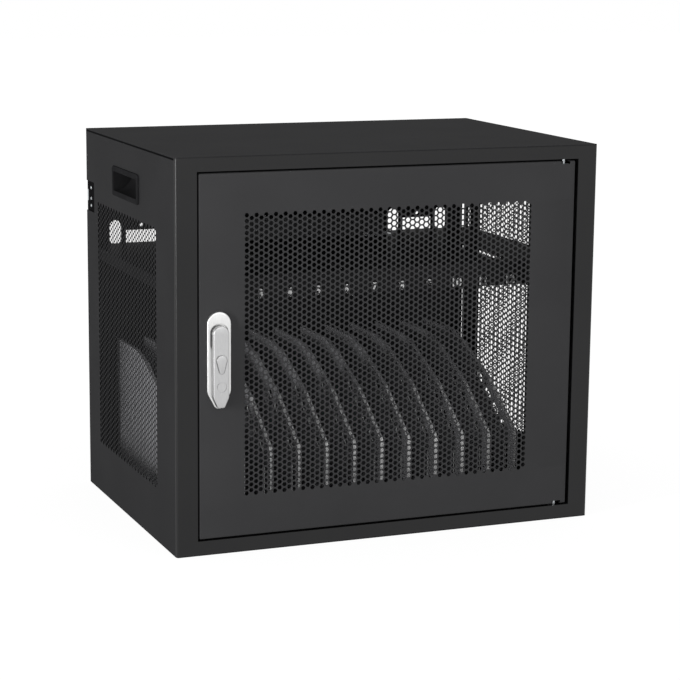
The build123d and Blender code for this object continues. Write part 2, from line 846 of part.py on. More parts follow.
def lock_nut():
    """The nut that clamps the lock plate to the door."""
    hexagon = RegularPolygon(lock_nut_flats / sqrt(3), 6, rotation=30)
    hexagon = Pos(lock_x, spindle_z) * (hexagon - Circle(lock_boss_radius + moving_clearance))
    return upright(hexagon, (front + sheet, front + sheet + lock_nut_thickness))


def lock_spindle():
    """The turning spindle with the carrier that the lever tips on."""
    carrier_y = (lever_back - carrier_depth, plate_y - carrier_running_gap)
    shaft = rod_y(lock_x, (carrier_y[0] + 1, cam_y), spindle_z, spindle_radius)
    tail_half = 4.0
    tail_y = (cam_y, cam_y + cam_thickness)
    tail = block(
        (lock_x - tail_half, lock_x + tail_half), tail_y, (spindle_z - tail_half, spindle_z + tail_half)
    )
    hub = rod_y(lock_x, carrier_y, spindle_z, carrier_radius)
    arm = block((lock_x - 3, lock_x + 3), carrier_y, (tilt_z, spindle_z))
    eye = rod_x((lock_x - 3, lock_x + 3), tilt_y, tilt_z, tilt_eye_radius)
    eye &= block((lock_x - 3, lock_x + 3), carrier_y, (tilt_z - 8, tilt_z + 8))
    pin = rod_x((lock_x - 20, lock_x + 20), tilt_y, tilt_z, tilt_pin_radius + 0.05)
    return shaft + tail + hub + arm + eye - pin


def lock_cam():
    """The cam on the spindle's square tail, behind the frame's flange when locked."""
    y = (cam_y, cam_y + cam_thickness)
    cam = cam_plate(lock_x, spindle_z, y, cam_reach, cam_width, -1)
    half = 4.05
    return cam - block(
        (lock_x - half, lock_x + half), (y[0] - 1, y[1] + 1), (spindle_z - half, spindle_z + half)
    )


def cam_screw():
    """The screw and washer that hold the cam on the spindle."""
    y = cam_y + cam_thickness
    washer = rod_y(lock_x, (y, y + 1), spindle_z, 7)
    head = upright(Pos(lock_x, spindle_z) * RegularPolygon(5.5, 6), (y + 1, y + 4))
    return washer + head


def lever():
    """The swing lever: hollow behind for the carrier, with a seat for the key cylinder."""
    half = lever_width / 2
    tip_z = tilt_z - lever_end + lever_tip_radius
    outline = capsule(half, lever_top, tip_z, lever_tip_radius, lock_taper)
    body = upright(Pos(lock_x, 0) * outline, (lever_front, lever_back))
    body = fillet(body.faces().sort_by(Axis.Y)[0].edges(), 1.5)
    end = block((lock_x - 30, lock_x + 30), (lever_front - 1, lever_back + 1), (tilt_z - 20, tilt_z))
    body -= end - rod_x((lock_x - 30, lock_x + 30), tilt_y, tilt_z, lever_end)
    gap = carrier_clearance
    pocket_y = (lever_front + lever_web, lever_back + 1)
    pocket = rod_y(lock_x, pocket_y, spindle_z, carrier_radius + gap)
    pocket += block((lock_x - 3 - gap, lock_x + 3 + gap), pocket_y, (tilt_z - 8, spindle_z))
    body -= pocket
    body -= rod_x((lock_x - 20, lock_x + 20), tilt_y, tilt_z, tilt_pin_radius + 0.05)
    key_y = (lever_front - 1, lever_back - 1.5)
    body -= rod_y(lock_x, key_y, key_z, key_radius + moving_clearance)
    body -= rod_y(lock_x, (lever_front - 1, lever_front + 4), cover_pivot_z, cover_pin_radius + 0.05)
    ring_groove = rod_y(lock_x, (lever_front - 1, lever_front + 0.6), spindle_z, 7.2)
    return body - (ring_groove - rod_y(lock_x, (lever_front - 2, lever_front + 1), spindle_z, 6.4))


def tilt_pin():
    """The pin that the lever tips on."""
    half = 5.2
    return rod_x((lock_x - half, lock_x + half), tilt_y, tilt_z, tilt_pin_radius)


def key_cylinder():
    """The key cylinder in the lever, with its keyway."""
    y = (lever_front + 0.2, lever_back - 1.7)
    cylinder = rod_y(lock_x, y, key_z, key_radius)
    slot_y = (y[0] - 1, y[0] + 4)
    return cylinder - block((lock_x - 0.7, lock_x + 0.7), slot_y, (key_z - 4, key_z + 4))


def keyhole_cover():
    """The small pear-shaped cover that swings off the keyhole."""
    big = Pos(lock_x, key_z) * Circle(key_radius + 0.6)
    small = Pos(lock_x, cover_pivot_z) * Circle(3.2)
    neck = Polygon(
        (lock_x - 3, cover_pivot_z),
        (lock_x + 3, cover_pivot_z),
        (lock_x + 5.8, key_z - 2),
        (lock_x - 5.8, key_z - 2),
        align=None,
    )
    y = (lever_front - cover_thickness - 0.1, lever_front - 0.1)
    cover = upright(big + small + neck, y)
    cover = chamfer(cover.faces().sort_by(Axis.Y)[0].edges(), 0.4)
    return cover + rod_y(lock_x, (y[1] - 0.2, lever_front + 3.5), cover_pivot_z, cover_pin_radius)


def build():
    """Every node of the charging station, by name."""
    nodes = {
        "front_frame": front_frame(),
        "top_panel": flat_panel((height - sheet, height)),
        "base_panel": flat_panel((0, sheet)),
        "left_side_panel": side_panel(-1),
        "right_side_panel": side_panel(1),
        "carry_handle_left": carry_handle(-1),
        "carry_handle_right": carry_handle(1),
        "rear_lower_panel": rear_lower_panel(),
        "rear_panel_screws": rear_panel_screws(),
        "charger_shelf": shelf(),
        "rack_base": rack_base(),
        "rack_back_rail": rack_back_rail(),
        "door_bumpers": door_bumpers(),
        "rear_strike": rear_strike(),
        "rear_hinge_fixed_leaf": rear_hinge_fixed(),
        "rear_hinge_pin": rear_hinge_pin(),
        "rear_door_panel": rear_door_panel(),
        "rear_hinge_moving_leaf": rear_hinge_moving(),
        "rear_hinge_screws": rear_hinge_screws(),
        "rear_lock_barrel": rear_lock_barrel(),
        "rear_lock_nut": rear_lock_nut(),
        "rear_lock_plug": rear_lock_plug(),
        "rear_lock_cam": rear_lock_cam(),
        "front_door_panel": door_panel(),
        "door_stiffener_lock_side": door_stiffener(left + window_left - stiffener_inset),
        "door_stiffener_hinge_side": door_stiffener(right - window_right + stiffener_inset),
        "pivot_bracket_top": pivot_bracket(True),
        "pivot_bracket_bottom": pivot_bracket(False),
        "pivot_pin_top": pivot_pin(True),
        "pivot_pin_bottom": pivot_pin(False),
        "lock_plate": lock_plate(),
        "lock_nut": lock_nut(),
        "lock_spindle": lock_spindle(),
        "lock_cam": lock_cam(),
        "cam_screw": cam_screw(),
        "swing_lever": lever(),
        "lever_tilt_pin": tilt_pin(),
        "key_cylinder": key_cylinder(),
        "keyhole_cover": keyhole_cover(),
    }
    for k in range(slot_count + 1):
        nodes[f"divider_{k + 1:02d}"] = divider(first_divider + k * slot_pitch)
    for name, upper in (("lower", False), ("upper", True)):
        lift = strip_lift(upper)
        nodes[f"outlet_strip_{name}"] = lift * strip_body()
        nodes[f"strip_fittings_{name}"] = [lift * s for s in strip_sockets() + [strip_inlet()]]
        nodes[f"strip_switch_{name}"] = lift * strip_switch()
    feet = [strip_lift(u) * s for u in (False, True) for s in strip_brackets()]
    nodes["strip_feet"] = feet
    nodes["strip_screws"] = [strip_lift(u) * s for u in (False, True) for s in strip_screws()]
    return nodes


def solids_of(shape):
    """All the solids in a shape or in a list of shapes."""
    if isinstance(shape, list):
        return [solid for piece in shape for solid in solids_of(piece)]
    return list(shape.solids())


os.makedirs("parts", exist_ok=True)
for node, shape in build().items():
    solids = solids_of(shape)
    export_step(solids[0] if len(solids) == 1 else Compound(solids), f"parts/{node}.step")
    print(node, len(solids), "solids")
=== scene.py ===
import json
from math import cos, pi, radians, sin, sqrt

import bmesh
import bpy
from mathutils import Matrix, Vector


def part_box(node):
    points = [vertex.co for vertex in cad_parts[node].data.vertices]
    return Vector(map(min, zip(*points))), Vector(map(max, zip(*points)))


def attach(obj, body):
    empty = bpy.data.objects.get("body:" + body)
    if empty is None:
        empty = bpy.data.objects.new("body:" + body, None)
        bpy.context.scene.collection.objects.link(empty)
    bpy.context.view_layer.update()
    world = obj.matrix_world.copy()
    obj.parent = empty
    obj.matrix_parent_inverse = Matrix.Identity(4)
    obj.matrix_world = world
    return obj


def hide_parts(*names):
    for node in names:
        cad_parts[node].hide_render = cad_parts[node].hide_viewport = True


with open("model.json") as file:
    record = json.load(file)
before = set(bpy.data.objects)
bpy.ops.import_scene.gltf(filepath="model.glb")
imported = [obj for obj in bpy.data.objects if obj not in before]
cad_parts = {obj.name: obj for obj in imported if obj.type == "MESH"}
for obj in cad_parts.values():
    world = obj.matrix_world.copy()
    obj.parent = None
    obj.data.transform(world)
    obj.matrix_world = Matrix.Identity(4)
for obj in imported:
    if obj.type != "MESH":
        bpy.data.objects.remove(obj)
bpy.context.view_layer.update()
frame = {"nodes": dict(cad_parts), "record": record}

cadNodes = frame["nodes"]

# the cabinet's main places, in metres, read from the solids
frameLow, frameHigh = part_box("front_frame")
frontY = frameLow.y
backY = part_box("top_panel")[1].y
leftX = frameLow.x
rightX = frameHigh.x
sideWord = {-1: "left", 1: "right"}
outsideX = {-1: leftX, 1: rightX}

mm = 0.001
touch = 0.02 * mm  # places nearer than this count as one
past = 1 * mm  # how far a cutter reaches past the face it opens
sharpFold = radians(45)  # edges sharper than this are bent or rounded


# working in edit mode
def clearSelection():
    if bpy.context.object and bpy.context.object.mode != "OBJECT":
        bpy.ops.object.mode_set(mode="OBJECT")
    bpy.ops.object.select_all(action="DESELECT")


def onlyPiece(piece):
    clearSelection()
    piece.select_set(True)
    bpy.context.view_layer.objects.active = piece
    return piece


def activePiece(name):
    piece = bpy.context.active_object
    piece.name = name
    piece.data.name = name
    return piece


def editing(piece):
    onlyPiece(piece)
    bpy.ops.object.mode_set(mode="EDIT")
    bpy.ops.mesh.select_mode(type="VERT")
    return piece


def pick(test, kind="verts"):
    mesh = bmesh.from_edit_mesh(bpy.context.object.data)
    for part in (mesh.verts, mesh.edges, mesh.faces):
        for item in part:
            item.select = False
    mesh.select_mode = {{"verts": "VERT", "edges": "EDGE", "faces": "FACE"}[kind]}
    for item in getattr(mesh, kind):
        if test(item):
            item.select_set(True)
    mesh.select_flush_mode()
    bmesh.update_edit_mesh(bpy.context.object.data)


def doneEditing():
    bpy.ops.object.mode_set(mode="OBJECT")
    return bpy.context.object


def applyModifier(piece, kind, **settings):
    onlyPiece(piece)
    modifier = piece.modifiers.new(kind.title(), kind)
    for key, value in settings.items():
        setattr(modifier, key, value)
    bpy.ops.object.modifier_apply(modifier=modifier.name)
    return piece


def settle(piece):
    onlyPiece(piece)
    bpy.ops.object.transform_apply(location=True, rotation=True, scale=True)
    return piece


def smoothByAngle(piece, angle=35):
    onlyPiece(piece)
    bpy.ops.object.shade_smooth_by_angle(angle=radians(angle))
    return piece


def finishPiece(piece, body, material, replaced=()):
    piece.data.materials.clear()
    piece.data.materials.append(material)
    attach(piece, body)
    if replaced:
        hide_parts(*replaced)
    return piece


# finishes
def linear(hexColour):
    channels = [int(hexColour[k:k + 2], 16) / 255 for k in (1, 3, 5)]
    return [c / 12.92 if c <= 0.04045 else ((c + 0.055) / 1.055) ** 2.4 for c in channels] + [1]


def addNode(tree, kind, settings=None, links=None):
    node = tree.nodes.new(kind)
    for key, value in (settings or {}).items():
        if key == "stops":
            for stop, (place, colour) in zip(node.color_ramp.elements, value):
                stop.position, stop.color = place, colour
        elif key in node.inputs:
            node.inputs[key].default_value = value
        else:
            setattr(node, key, value)
    for key, source in (links or {}).items():
        tree.links.new(source, node.inputs[key])
    return node


def grainedMaterial(name, shader, tones, patches, grain, gloss, relief, stretch=None):
    # patches blend the two tones, and the grain sets gloss and relief; both are given as
    # (size of one blotch, detail, roughness), gloss as its two (place, roughness) stops and
    # relief as (strength, depth), with sizes in metres; stretch draws both out along an axis
    material = bpy.data.materials.new(name)
    material.use_nodes = True
    tree = material.node_tree
    tree.nodes.clear()
    coords = addNode(tree, "ShaderNodeTexCoord").outputs["Object"]
    if stretch:
        mapping = addNode(tree, "ShaderNodeMapping", {"Scale": stretch}, {"Vector": coords})
        coords = mapping.outputs["Vector"]
    tonal, fine = [
        addNode(tree, "ShaderNodeTexNoise",
                {"Scale": 1 / size, "Detail": detail, "Roughness": rough}, {"Vector": coords})
        for size, detail, rough in (patches, grain)]
    colour = addNode(tree, "ShaderNodeValToRGB", {
        "stops": [(place, linear(tone)) for place, tone in zip((0.3, 0.7), tones)],
    }, {"Fac": tonal.outputs["Fac"]})
    satin = addNode(tree, "ShaderNodeValToRGB", {
        "stops": [(place, [rough] * 3 + [1]) for place, rough in gloss],
    }, {"Fac": fine.outputs["Fac"]})
    bump = addNode(tree, "ShaderNodeBump", {"Strength": relief[0], "Distance": relief[1]},
                   {"Height": fine.outputs["Fac"]})
    surface = addNode(tree, "ShaderNodeBsdfPrincipled", shader, {
        "Base Color": colour.outputs["Color"], "Roughness": satin.outputs["Color"],
        "Normal": bump.outputs["Normal"]})
    addNode(tree, "ShaderNodeOutputMaterial", None, {"Surface": surface.outputs["BSDF"]})
    return material


def powderCoat(name, colour, lighter, roughness=0.56, shine=0.06):
    # epoxy-polyester powder, baked on steel: an even satin skin with a fine orange peel,
    # drawn at 2 mm because the real 0.5 mm grain is too fine to show
    shader = {"IOR": 1.5, "Specular IOR Level": 0.0, "Coat Weight": shine, "Coat Roughness": 0.28}
    gloss = [(0.35, roughness - 0.05), (0.65, roughness + 0.07)]
    return grainedMaterial(name, shader, (colour, lighter), (90 * mm, 3, 0.5),
                           (2.0 * mm, 2, 0.5), gloss, (0.12, 0.06 * mm))


def metal(name, colour, lighter, roughness, grain, stretch=None):
    # grain is the width of a cast, plated or brushed mark, which varies tone and gloss together
    gloss = [(0.3, roughness - 0.06), (0.7, roughness + 0.08)]
    marks = (grain, 3, 0.6)
    return grainedMaterial(name, {"Metallic": 1.0}, (colour, lighter), marks, marks, gloss,
                           (0.15, 0.02 * mm), stretch)


def mouldedPlastic(name, colour, lighter, roughness, shine=0.5):
    # a mould's spark-eroded texture at about half a millimetre, over an almost even colour
    gloss = [(0.3, roughness - 0.06), (0.7, roughness + 0.06)]
    return grainedMaterial(name, {"IOR": 1.49, "Specular IOR Level": shine}, (colour, lighter),
                           (30 * mm, 2, 0.5), (0.6 * mm, 2, 0.6), gloss, (0.2, 0.05 * mm))


def paintedFoldHighlight(material, highlightColour="#f4f4f4"):
    # painted highlight: faces turned to the front are blended towards a near-white colour,
    # standing in for the light that the dividers' front folds catch
    tree = material.node_tree
    surface = next(n for n in tree.nodes if n.type == "BSDF_PRINCIPLED")
    plain = surface.inputs["Base Color"].links[0].from_socket
    normal = addNode(tree, "ShaderNodeTexCoord").outputs["Normal"]
    across = addNode(tree, "ShaderNodeSeparateXYZ", None, {0: normal}).outputs["Y"]
    front = addNode(tree, "ShaderNodeMapRange", {"From Min": -0.35, "From Max": -0.75},
                    {"Value": across})
    blend = addNode(tree, "ShaderNodeMix", {"data_type": "RGBA"},
                    {"Factor": front.outputs["Result"]})
    colours = [socket for socket in blend.inputs if socket.type == "RGBA"]
    tree.links.new(plain, colours[0])
    colours[1].default_value = linear(highlightColour)
    blended = next(socket for socket in blend.outputs if socket.type == "RGBA")
    tree.links.new(blended, surface.inputs["Base Color"])


# each finish's maker, two tones, roughness and what else the maker takes
upright = (1, 1, 0.12)  # the lock's marks are drawn out along its height
finishes = {
    "cabinetPowderCoat": (powderCoat, "#262627", "#29292a"),
    "glossyBend": (powderCoat, "#0f0f10", "#121213", 0.5, 0.65),
    # a near-black coat, used for the hinges and for the painted shade strips along the top seams
    "nearBlackCoatAndSeamShade": (powderCoat, "#0a0a0b", "#0e0e0f", 0.6, 0.02),
    "doorPowderCoat": (powderCoat, "#373738", "#3a3a3b", 0.6),
    "innerPowderCoat": (powderCoat, "#262627", "#2a2a2b", 0.5),
    "dividerPowderCoat": (powderCoat, "#919194", "#99999c", 0.34, 0.2),
    "blackAbs": (mouldedPlastic, "#1f1f20", "#242425", 0.38, 0.0),
    "castZincSatin": (metal, "#d9d9d9", "#e2e2e1", 0.34, 0.9 * mm, upright),
    "castZincGrey": (metal, "#b6b6b7", "#c2c2c2", 0.38, 0.9 * mm, upright),
    "nickelPlatedBrass": (metal, "#a8a59e", "#b5b2ab", 0.3, 0.8 * mm),
    "zincPlatedSteel": (metal, "#a7abad", "#b8bcbf", 0.36, 3.0 * mm),
    "blackOxideSteel": (metal, "#3b3b3d", "#47474a", 0.42, 1.2 * mm),
    "nitrileRubber": (mouldedPlastic, "#171717", "#1c1c1c", 0.7),
    "blackPolycarbonate": (mouldedPlastic, "#232325", "#28282a", 0.42),
    "darkNylon": (mouldedPlastic, "#2c2c2e", "#333335", 0.5),
    "redPolycarbonate": (mouldedPlastic, "#a01414", "#ab1a18", 0.25),
    "whiteScreenInk": (mouldedPlastic, "#f2f2f2", "#f8f8f8", 0.6),
}
materials = {name: make(name, *values) for name, (make, *values) in finishes.items()}
# the dividers' front-facing folds get a painted highlight
paintedFoldHighlight(materials["dividerPowderCoat"])
print("materials made:", len(materials))


# perforated sheets are drawn flat in X and Y with the outside facing +Z; their holes are
# hexagons with flats above and below, in columns half a hole apart
perforation = {"acrossFlats": 5.5 * mm, "pitchAcross": 6.5 * mm, "pitchUp": 7.5 * mm}


def repeat(piece, count, step):
    return applyModifier(
        piece, "ARRAY", count=count, use_relative_offset=False, use_constant_offset=True,
        constant_offset_displace=step, use_merge_vertices=True, merge_threshold=touch)


def perforatedColumn(rows):
    # one hexagonal hole in a rectangle whose sides carry a middle vertex, so that columns
    # half a hole apart share their vertices
    across, up = perforation["pitchAcross"], perforation["pitchUp"]
    hole = perforation["acrossFlats"] / sqrt(3)
    outer = up / 2 / sin(radians(60))
    clearSelection()
    bpy.ops.mesh.primitive_circle_add(vertices=6, radius=hole, rotation=(0, 0, pi / 6))
    cell = editing(settle(activePiece("perforatedCell")))
    bpy.ops.mesh.primitive_circle_add(vertices=6, radius=outer, rotation=(0, 0, pi / 6))
    bpy.ops.mesh.select_all(action="SELECT")
    bpy.ops.mesh.bridge_edge_loops()
    pick(lambda v: abs(v.co.y) > 0.49 * up)
    bpy.ops.transform.resize(value=(across / outer, 1, 1), center_override=(0, 0, 0))
    pick(lambda v: abs(v.co.x) > 0.99 * outer)
    bpy.ops.transform.resize(value=(across / 2 / outer, 1, 1), center_override=(0, 0, 0))
    doneEditing()
    return repeat(cell, rows, (0, up, 0))


def perforatedField(columns, rows):
    # a second column stands half a hole higher: its top cell goes, and both columns are closed
    # with straight strips, before the pair is repeated
    across, up = perforation["pitchAcross"], perforation["pitchUp"]
    topRow = (rows - 1) * up
    field = editing(perforatedColumn(rows))
    bpy.ops.mesh.select_all(action="SELECT")
    bpy.ops.mesh.duplicate_move(TRANSFORM_OT_translate={"value": (across, up / 2, 0)})

    def inTopCell(face):
        middle = face.calc_center_median()
        return middle.x > across / 2 and middle.y > topRow

    pick(inTopCell, "faces")
    bpy.ops.mesh.delete(type="FACE")
    for edgeY, step in ((0, -up / 2), (topRow, up / 2)):
        pick(lambda e: e.is_boundary and all(
            v.co.x > across / 2 - touch and abs(v.co.y - edgeY) < touch for v in e.verts), "edges")
        bpy.ops.mesh.extrude_region_move(TRANSFORM_OT_translate={"value": (0, step, 0)})
    doneEditing()
    editing(repeat(field, columns // 2, (2 * across, 0, 0)))
    bpy.ops.mesh.select_all(action="SELECT")
    bpy.ops.mesh.remove_doubles(threshold=touch)
    bpy.ops.transform.translate(value=(across / 2, up / 2, 0))
    return doneEditing()


def faceUp(piece):
    # turns a flat sheet over if its faces look down
    if sum(face.normal.z * face.area for face in piece.data.polygons) < 0:
        editing(piece)
        bpy.ops.mesh.select_all(action="SELECT")
        bpy.ops.mesh.flip_normals()
        doneEditing()
    return piece


def borderedSheet(name, field, outer):
    # field and outer are (left, right, bottom, top); the field is centred on whole holes
    across, up = perforation["pitchAcross"], perforation["pitchUp"]
    columns = 2 * round((field[1] - field[0]) / across / 2)
    rows = round((field[3] - field[2]) / up)
    piece = perforatedField(columns, rows)
    piece.name = piece.data.name = name
    startX = (field[0] + field[1] - columns * across) / 2
    startY = (field[2] + field[3] - rows * up) / 2
    editing(piece)
    bpy.ops.mesh.select_all(action="SELECT")
    bpy.ops.transform.translate(value=(startX, startY, 0))
    sides = [
        (0, startX, outer[0]), (0, startX + columns * across, outer[1]),
        (1, startY, outer[2]), (1, startY + rows * up, outer[3])]
    for axis, at, target in sides:
        pick(lambda e: e.is_boundary and all(abs(v.co[axis] - at) < touch for v in e.verts),
             "edges")
        move = [0, 0, 0]
        move[axis] = target - at
        bpy.ops.mesh.extrude_region_move(TRANSFORM_OT_translate={"value": move})
    bpy.ops.mesh.select_all(action="SELECT")
    bpy.ops.mesh.normals_make_consistent(inside=False)
    return faceUp(doneEditing())


def cutHole(piece, low, high, within):
    # a rectangular hole from low to high, cut only in faces whose middle passes the test
    editing(piece)
    for axis in (0, 1):
        for corner in (low, high):
            pick(lambda f: within(f.calc_center_median()), "faces")
            normal = [float(k == axis) for k in range(3)]
            bpy.ops.mesh.bisect(plane_co=[n * corner[axis] for n in normal], plane_no=normal)

    def inHole(face):
        middle = face.calc_center_median()
        return within(middle) and low[0] < middle.x < high[0] and low[1] < middle.y < high[1]

    pick(inHole, "faces")
    bpy.ops.mesh.delete(type="FACE")
    return doneEditing()


def thicken(piece, thickness):
    # the sheet's thickness goes inwards, away from the face
    return applyModifier(piece, "SOLIDIFY", thickness=thickness, offset=-1, use_even_offset=True)


def stand(piece, rotation, location):
    piece.rotation_euler = rotation
    piece.location = location
    return smoothByAngle(settle(piece))


# front door; the sheets are drawn thinner than the real 1.5 mm, so that their narrow holes let
# as much light through as the real ones
doorSize = {
    "sheet": 0.9 * mm, "edgeRadius": 1.6 * mm, "notchHalf": 6.5 * mm, "notchDepth": 4 * mm,
    "fieldLeft": 91 * mm, "fieldRight": 96 * mm, "fieldBottom": 73 * mm, "fieldTop": 441 * mm,
}


def frontDoorSheet():
    low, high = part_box("front_door_panel")
    size = doorSize
    field = (leftX + size["fieldLeft"], rightX - size["fieldRight"], size["fieldBottom"],
             size["fieldTop"])
    door = borderedSheet("frontDoorSheet", field, (low.x, high.x, low.z, high.z))
    pivotX = sum(corner.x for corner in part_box("pivot_pin_top")) / 2
    for edge, outwards in ((high.z, 1), (low.z, -1)):
        bottom, top = sorted((edge - outwards * size["notchDepth"], edge + outwards * past))
        cutHole(door, (pivotX - size["notchHalf"], bottom), (pivotX + size["notchHalf"], top),
                lambda c: c.y > field[3] + past or c.y < field[2] - past)
    editing(door)

    def onOutline(edge):
        return edge.is_boundary and any(
            all(abs(v.co[axis] - at) < touch for v in edge.verts)
            for axis, at in ((0, low.x), (0, high.x), (1, low.z), (1, high.z)))

    pick(onOutline, "edges")
    bpy.ops.mesh.extrude_region_move(
        TRANSFORM_OT_translate={"value": (0, 0, -(high.y - low.y))})
    bpy.ops.mesh.select_all(action="SELECT")
    bpy.ops.mesh.normals_make_consistent(inside=False)
    pick(lambda e: len(e.link_faces) == 2 and e.calc_face_angle(0) > sharpFold, "edges")
    bpy.ops.mesh.bevel(offset=size["edgeRadius"], segments=3, affect="EDGES")
    thicken(faceUp(doneEditing()), size["sheet"])
    stand(door, (pi / 2, 0, 0), (0, low.y, 0))
    return finishPiece(door, "front_door", materials["doorPowderCoat"],
                       ["front_door_panel"])


# cabinet sides
sideSize = {
    "sheet": 0.2 * mm,
    "fieldFront": 80 * mm, "fieldBack": 355 * mm, "fieldBottom": 71 * mm, "fieldTop": 415 * mm,
    "handleHalfLength": 55.3 * mm, "handleHalfHeight": 15.3 * mm,
    "hingeFront": 371.5 * mm, "hingeHalf": 21 * mm, "hingeZ": 418 * mm,
    "slotFront": 391 * mm, "slotZ": 364 * mm, "slotHalf": (3.5 * mm, 14 * mm),
}


def sideSheet(side):
    # side is -1 for the left and 1 for the right; flat X runs to the back on the right
    # and to the front on the left
    node = f"{sideWord[side]}_side_panel"
    low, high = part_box(node)
    size = sideSize
    spans = sorted((side * (frontY + size["fieldFront"]), side * (frontY + size["fieldBack"])))
    field = (spans[0], spans[1], size["fieldBottom"], size["fieldTop"])
    edges = sorted((side * low.y, side * high.y))
    sheet = borderedSheet(f"{sideWord[side]}SideSheet", field,
                          (edges[0], edges[1], low.z, high.z))
    handleLow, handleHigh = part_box(f"carry_handle_{sideWord[side]}")
    centre = side * (handleLow.y + handleHigh.y) / 2
    centreZ = (handleLow.z + handleHigh.z) / 2
    cutHole(sheet, (centre - size["handleHalfLength"], centreZ - size["handleHalfHeight"]),
            (centre + size["handleHalfLength"], centreZ + size["handleHalfHeight"]),
            lambda c: c.y > field[3] + past)
    if side < 0:  # a notch for the rear hinge
        cutHole(sheet, (edges[0] - past, size["hingeZ"] - size["hingeHalf"]),
                (-(frontY + size["hingeFront"]), size["hingeZ"] + size["hingeHalf"]),
                lambda c: c.x < field[0])
    else:  # a slot for a cable lock
        slotX = frontY + size["slotFront"]
        half = size["slotHalf"]
        cutHole(sheet, (slotX - half[0], size["slotZ"] - half[1]),
                (slotX + half[0], size["slotZ"] + half[1]), lambda c: c.x > field[1])
    thicken(sheet, size["sheet"])
    stand(sheet, (pi / 2, 0, side * pi / 2), (outsideX[side], 0, 0))
    return finishPiece(sheet, "cabinet", materials["cabinetPowderCoat"],
                       [node])


frontDoorSheet()
for side in (-1, 1):
    sideSheet(side)
print("perforated sheets made")


# the lock: plate, lever and keyhole cover
lockSize = {
    "plateHalf": 16 * mm, "plateTip": 8 * mm, "plateShoulder": 17 * mm, "plateEdge": 2.0 * mm,
    "recessGap": 1.6 * mm, "recessRise": 2.4 * mm, "recessDeep": 3 * mm,
    "leverHalf": 10.6 * mm, "leverTip": 6.2 * mm, "leverShoulder": 17 * mm,
    "leverEdge": 1.8 * mm, "leverSkin": 1.5 * mm,
    "ringRadius": 6.9 * mm, "ringWidth": 1.4 * mm, "groove": 0.9 * mm,
    "pocketRadius": 8.5 * mm, "armHalf": 3.5 * mm, "armBelow": 4 * mm,
    "pinInset": 4 * mm, "heelWidth": 40 * mm, "keyGap": 0.15 * mm, "keyBehind": 0.1 * mm,
    "coverTip": 3.2 * mm, "coverEdge": 0.5 * mm, "coverGap": 1.2 * mm, "coverOff": 0.1 * mm,
    "barSides": 48, "heelSides": 64, "smoothAngle": 40,
}


def roundedBar(name, circles, yFront, yBack):
    # the hull of round bars along Y; circles are (x, z, radius) in metres
    clearSelection()
    for k, (x, z, radius) in enumerate(circles):
        if k:
            editing(piece)  # entered anew for each bar, so that the hull's faces keep their order
        bpy.ops.mesh.primitive_cylinder_add(
            vertices=lockSize["barSides"], radius=radius, depth=yBack - yFront,
            location=(x, (yFront + yBack) / 2, z), rotation=(pi / 2, 0, 0))
        if not k:
            piece = editing(settle(activePiece(name)))
    bpy.ops.mesh.select_all(action="SELECT")
    bpy.ops.mesh.convex_hull()
    bpy.ops.mesh.select_all(action="SELECT")
    bpy.ops.mesh.dissolve_limited(angle_limit=radians(0.5))
    bpy.ops.mesh.select_all(action="SELECT")
    bpy.ops.mesh.normals_make_consistent(inside=False)
    return doneEditing()


def roundFront(piece, y, radius, segments):
    editing(piece)
    pick(lambda e: all(abs(v.co.y - y) < touch for v in e.verts)
         and e.calc_face_angle(0) > sharpFold, "edges")
    bpy.ops.mesh.bevel(offset=radius, segments=segments, affect="EDGES")
    return doneEditing()


def carve(piece, cutter):
    applyModifier(piece, "BOOLEAN", operation="DIFFERENCE", object=cutter, solver="EXACT")
    bpy.data.objects.remove(cutter, do_unlink=True)
    return piece


def lockPlate():
    low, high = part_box("lock_plate")
    size = lockSize
    x = (low.x + high.x) / 2
    top, tip = high.z - size["plateHalf"], low.z + size["plateTip"]
    circles = [(x, top, size["plateHalf"]), (x, tip + size["plateShoulder"], size["plateHalf"]),
               (x, tip, size["plateTip"])]
    plate = roundedBar("lockPlate", circles, low.y, frontY)
    roundFront(plate, low.y, size["plateEdge"], 5)
    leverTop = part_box("swing_lever")[1].z
    reach = size["leverHalf"] + size["recessGap"]
    scoop = [(x, leverTop - reach + size["recessRise"], reach), (x, leverTop - 2 * reach, reach)]
    carve(plate, roundedBar("recess", scoop, low.y - past, low.y + size["recessDeep"]))
    smoothByAngle(plate, size["smoothAngle"])
    return finishPiece(plate, "front_door", materials["castZincSatin"],
                       ["lock_plate"])


def coverCircles(x, low, high, gap=0):
    big, small = (high.x - low.x) / 2, lockSize["coverTip"]
    return [(x, high.z - big, big + gap), (x, low.z + small, small + gap)]


def heelCutter(x, low, high):
    # rounds the lever's lower end about its pin, so that it tips clear of the plate
    inset, width = lockSize["pinInset"], lockSize["heelWidth"]
    pinY, pinZ = high.y - inset, low.z + inset
    clearSelection()
    bpy.ops.mesh.primitive_cube_add(
        size=1, location=(x, (low.y + high.y) / 2, pinZ - 2 * inset),
        scale=(width, high.y - low.y + 2 * past, 4 * inset))
    heel = settle(activePiece("heel"))
    clearSelection()
    bpy.ops.mesh.primitive_cylinder_add(
        vertices=lockSize["heelSides"], radius=inset, depth=width + 4 * past,
        location=(x, pinY, pinZ), rotation=(0, pi / 2, 0))
    return carve(heel, settle(activePiece("heelRound")))


